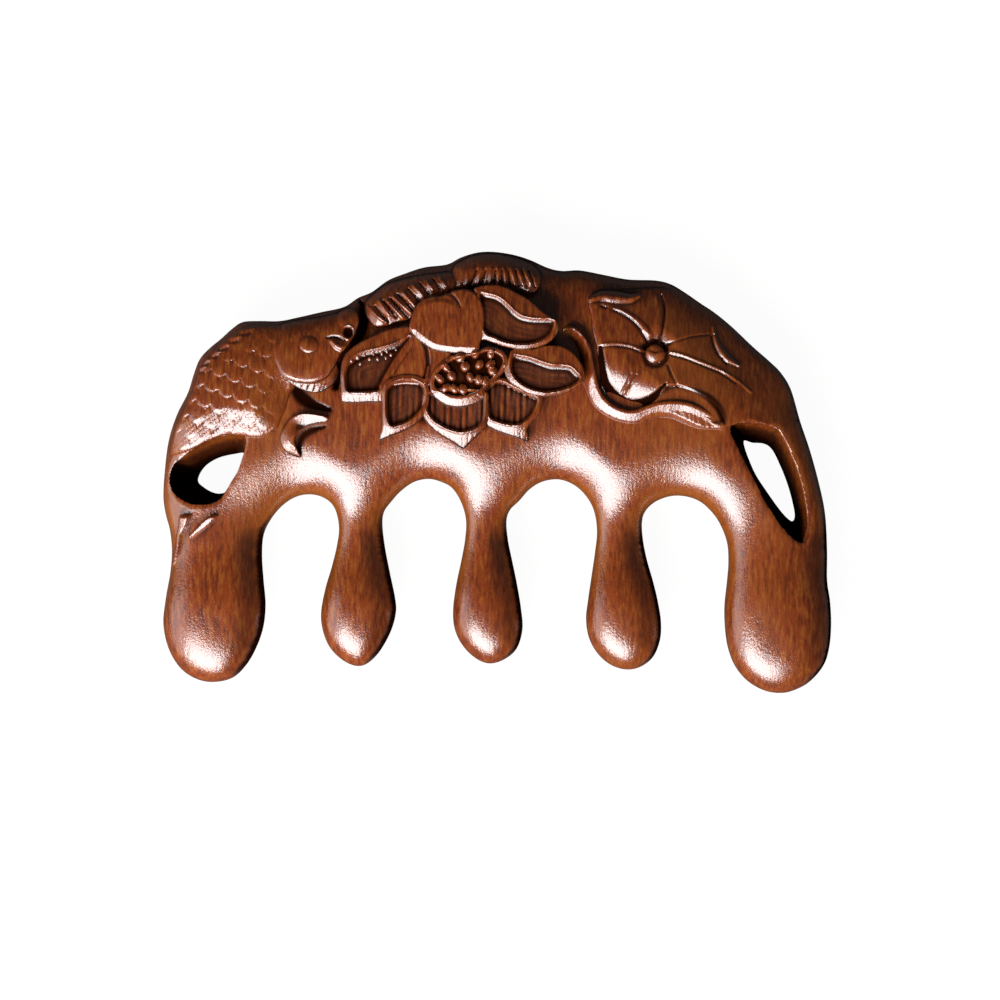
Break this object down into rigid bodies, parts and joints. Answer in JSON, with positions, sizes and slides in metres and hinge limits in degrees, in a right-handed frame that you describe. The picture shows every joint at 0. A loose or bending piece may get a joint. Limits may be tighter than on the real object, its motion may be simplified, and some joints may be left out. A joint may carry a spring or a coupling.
{
  "type": "wide-tooth massage comb",
  "caption": "Carved wooden wide-tooth massage comb: an arched back with a lotus, carp and lotus leaf in relief, and rounded bulb-ended teeth for the scalp.",
  "frame": {"origin": "under the middle of the comb's box, on the flat rear face that it rests on", "axes": "+X along the back from the fish to the leaf, -Y the way the teeth point, +Z out of the carved face"},
  "size_m": [0.1098, 0.0725, 0.0182],
  "materials": {
    "lacquered_wood": "satin lacquer over fine-grained reddish-brown hardwood"
  },
  "bodies": {
    "root": {"carved_back": "lacquered_wood", "tooth_1": "lacquered_wood", "tooth_2": "lacquered_wood", "tooth_3": "lacquered_wood", "tooth_4": "lacquered_wood", "tooth_5": "lacquered_wood", "fish_head": "lacquered_wood", "fish_body": "lacquered_wood", "fish_fin": "lacquered_wood", "fish_tail": "lacquered_wood", "lotus_bud": "lacquered_wood", "seed_pod": "lacquered_wood", "petal_upper_left": "lacquered_wood", "petal_inner_left": "lacquered_wood", "petal_lower_left": "lacquered_wood", "petal_bottom": "lacquered_wood", "petal_lower_right": "lacquered_wood", "petal_right": "lacquered_wood", "petal_upper_right": "lacquered_wood", "rolled_leaf_left": "lacquered_wood", "rolled_leaf_right": "lacquered_wood", "lotus_leaf": "lacquered_wood", "leaf_stem": "lacquered_wood"}
  },
  "joints": []
}
